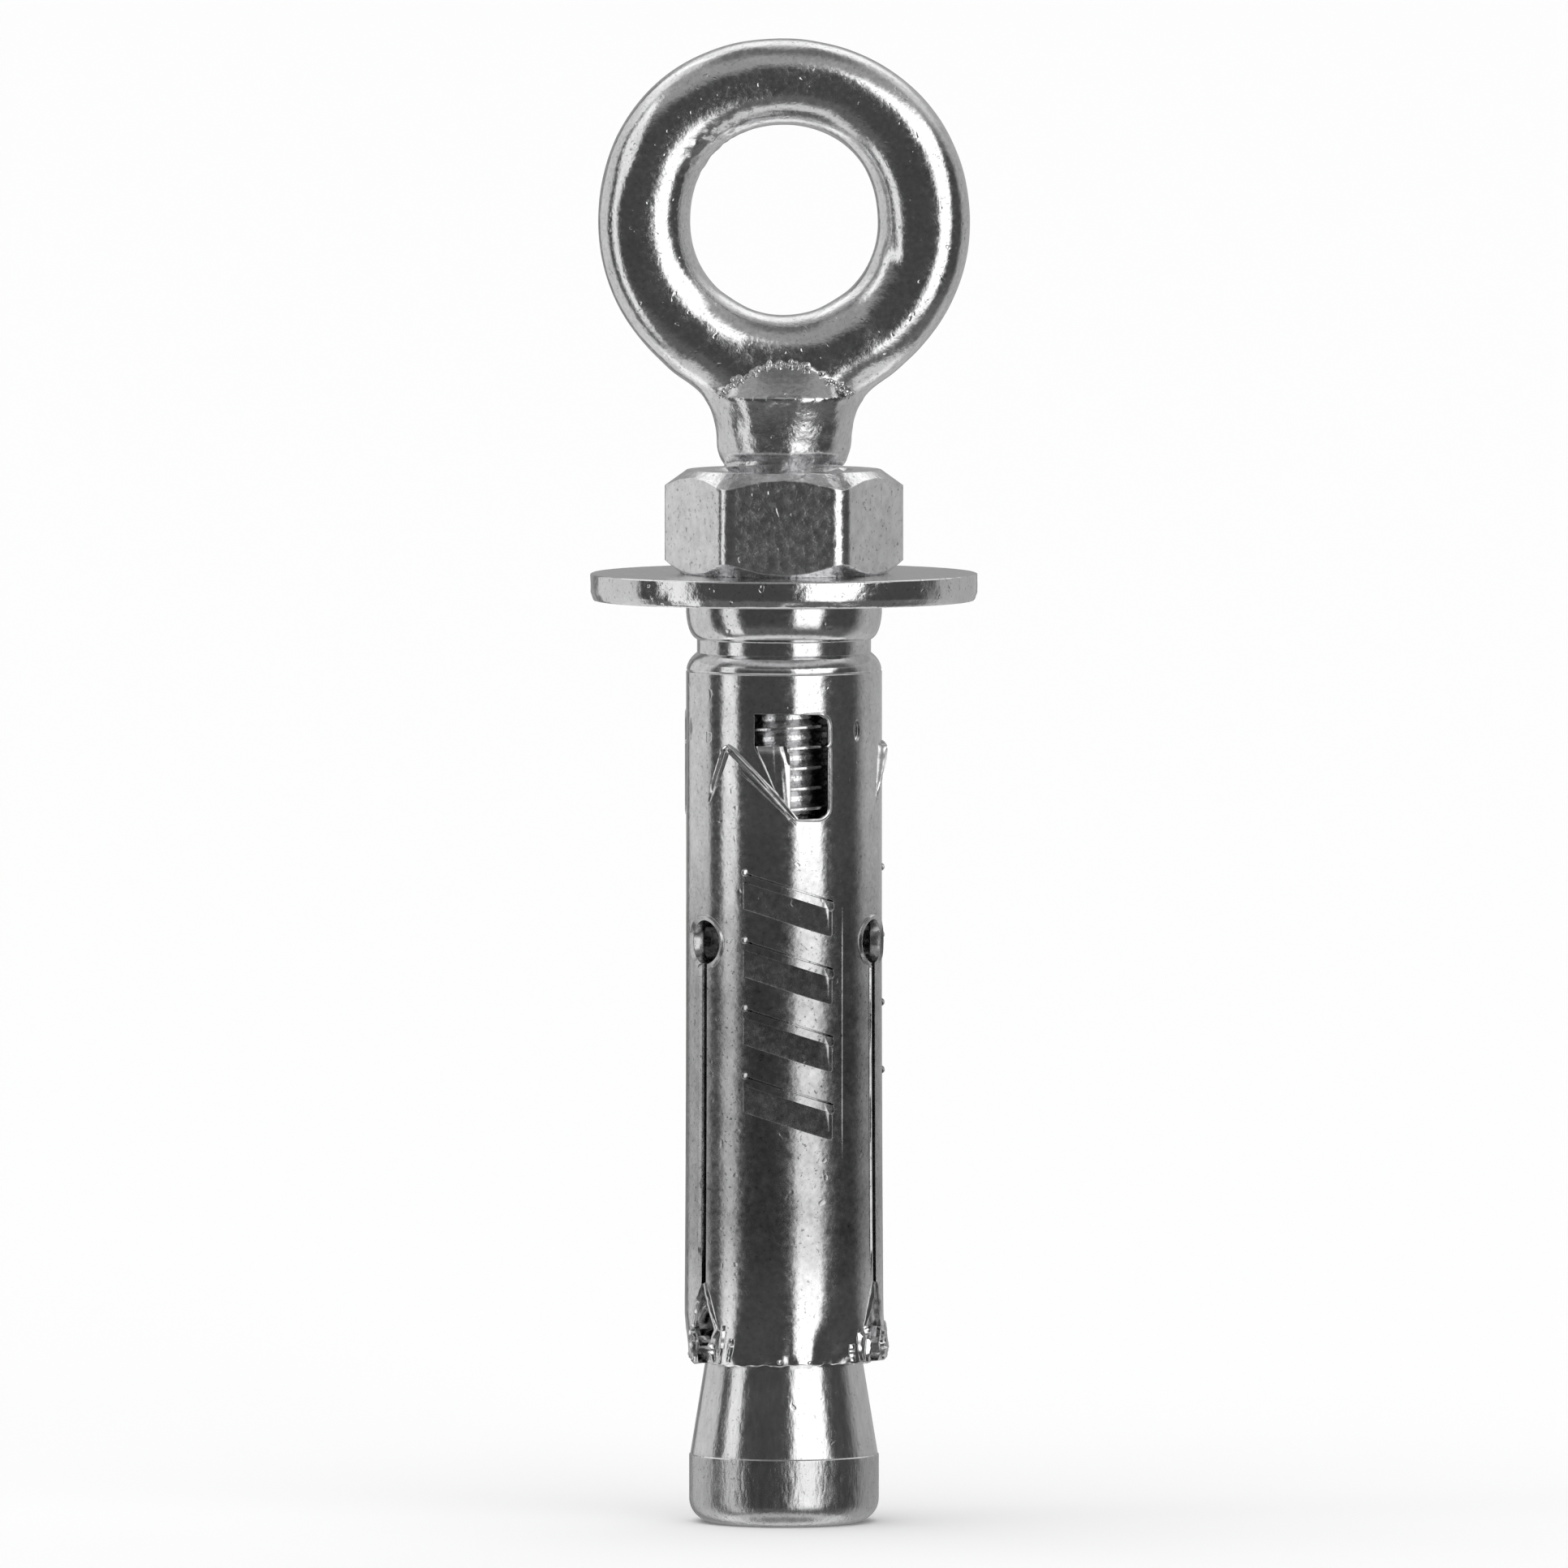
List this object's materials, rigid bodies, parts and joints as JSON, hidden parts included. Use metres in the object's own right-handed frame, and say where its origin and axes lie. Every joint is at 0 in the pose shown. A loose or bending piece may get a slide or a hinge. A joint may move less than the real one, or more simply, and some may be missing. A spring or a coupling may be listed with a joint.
{
  "type": "eye anchor",
  "caption": "Steel expansion anchor with a closed eye: turning the nut draws a cone into a slit sleeve, which grips the wall of a drilled hole.",
  "frame": {"origin": "centre of the flat foot of the cone, the lowest point, on the anchor's long axis", "axes": "+Z runs along the axis from the cone to the eye, and the eye lies in the XZ plane with its hole along Y. The front is -Y"},
  "size_m": [0.0238, 0.0238, 0.0912],
  "materials": {
    "bright_zinc": "bright zinc plated forged steel, glossy",
    "nut_zinc": "zinc plated, satin with dull mottled flats",
    "washer_zinc": "zinc plated punched sheet",
    "sleeve_zinc": "bright zinc plated rolled steel, fine mottle",
    "cone_zinc": "zinc plated turned steel"
  },
  "bodies": {
    "sleeve_set": {"sleeve": "sleeve_zinc", "washer": "washer_zinc"},
    "bolt_set": {"eye_bolt": "bright_zinc", "cone_nut": "cone_zinc"},
    "nut": {"hex_nut": "nut_zinc"}
  },
  "joints": [
    {"name": "nut_turn", "type": "hinge", "parent": "sleeve_set", "child": "nut", "pos_m": [0, 0, 0.06143], "axis": [0, 0, -1], "range_deg": [0, 1440]},
    {"name": "bolt_draw", "type": "slide", "parent": "sleeve_set", "child": "bolt_set", "axis": [0, 0, 1], "range_m": [0, 0.005], "deforming": ["sleeve"]}
  ],
  "couplings": [
    {"joint": "nut_turn", "follows": "bolt_draw", "rad_per_m": 5026.5}
  ]
}
